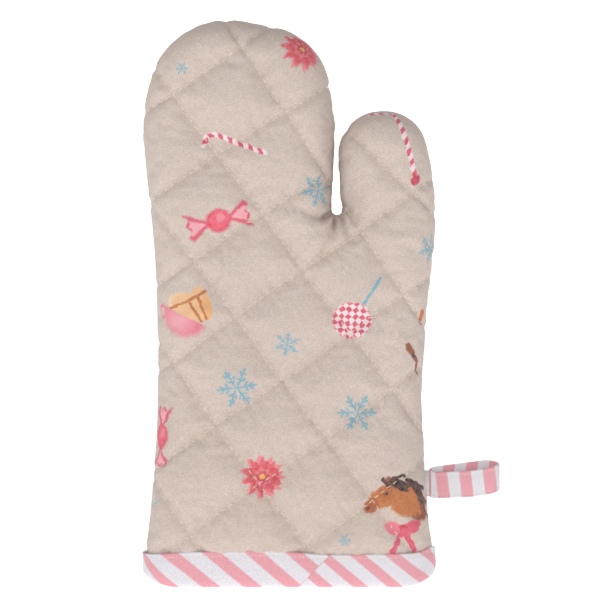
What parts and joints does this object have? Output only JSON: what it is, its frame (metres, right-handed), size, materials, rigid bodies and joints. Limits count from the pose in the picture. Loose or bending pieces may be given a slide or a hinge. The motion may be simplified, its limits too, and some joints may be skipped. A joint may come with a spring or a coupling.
{
  "type": "oven mitt",
  "caption": "Quilted cotton oven mitt with one thumb, striped cuff binding and a hanging loop; fingers, thumb and loop bend.",
  "frame": {"origin": "centre of the cuff opening, in the plane the rim stands on", "axes": "+Z from the cuff to the fingertips, +X towards the thumb side, -Y out of the front panel"},
  "size_m": [0.1914, 0.0472, 0.3007],
  "materials": {
    "cotton_print": "woven cotton canvas with a scattered print",
    "wadding": "loose polyester felt",
    "lining": "plain woven cotton",
    "quilting_thread": "spun cotton thread",
    "sewing_thread": "spun cotton thread",
    "overlock_thread": "textured polyester thread",
    "striped_binding": "woven cotton with pink and white stripes"
  },
  "bodies": {
    "palm": {"front_cover_palm": "cotton_print", "front_wadding_palm": "wadding", "front_lining_palm": "lining", "front_quilting_palm": "quilting_thread", "back_cover_palm": "cotton_print", "back_wadding_palm": "wadding", "back_lining_palm": "lining", "back_quilting_palm": "quilting_thread", "seam_thread_palm": "sewing_thread", "overlock_thread_palm": "overlock_thread", "cuff_binding": "striped_binding", "binding_stitching": "sewing_thread", "loop_ends": "striped_binding"},
    "fingers": {"front_cover_fingers": "cotton_print", "front_wadding_fingers": "wadding", "front_lining_fingers": "lining", "front_quilting_fingers": "quilting_thread", "back_cover_fingers": "cotton_print", "back_wadding_fingers": "wadding", "back_lining_fingers": "lining", "back_quilting_fingers": "quilting_thread", "seam_thread_fingers": "sewing_thread", "overlock_thread_fingers": "overlock_thread"},
    "thumb": {"front_cover_thumb": "cotton_print", "front_wadding_thumb": "wadding", "front_lining_thumb": "lining", "front_quilting_thumb": "quilting_thread", "back_cover_thumb": "cotton_print", "back_wadding_thumb": "wadding", "back_lining_thumb": "lining", "back_quilting_thumb": "quilting_thread", "seam_thread_thumb": "sewing_thread", "overlock_thread_thumb": "overlock_thread"},
    "loop": {"hanging_loop": "striped_binding", "loop_stitching": "sewing_thread"}
  },
  "joints": [
    {"name": "finger_curl", "type": "hinge", "parent": "palm", "child": "fingers", "pos_m": [-0.026, 0.0226, 0.2001], "axis": [-1, 0, 0], "range_deg": [0, 60], "stiffness_Nm_per_rad": 0.02},
    {"name": "thumb_curl", "type": "hinge", "parent": "palm", "child": "thumb", "pos_m": [0.052, 0.0226, 0.2001], "axis": [-1, 0, 0], "range_deg": [0, 50], "stiffness_Nm_per_rad": 0.01},
    {"name": "loop_swing", "type": "hinge", "parent": "palm", "child": "loop", "pos_m": [0.0763, 0, 0.0533], "axis": [0, 0, 1], "range_deg": [-70, 70], "stiffness_Nm_per_rad": 0.0005}
  ]
}
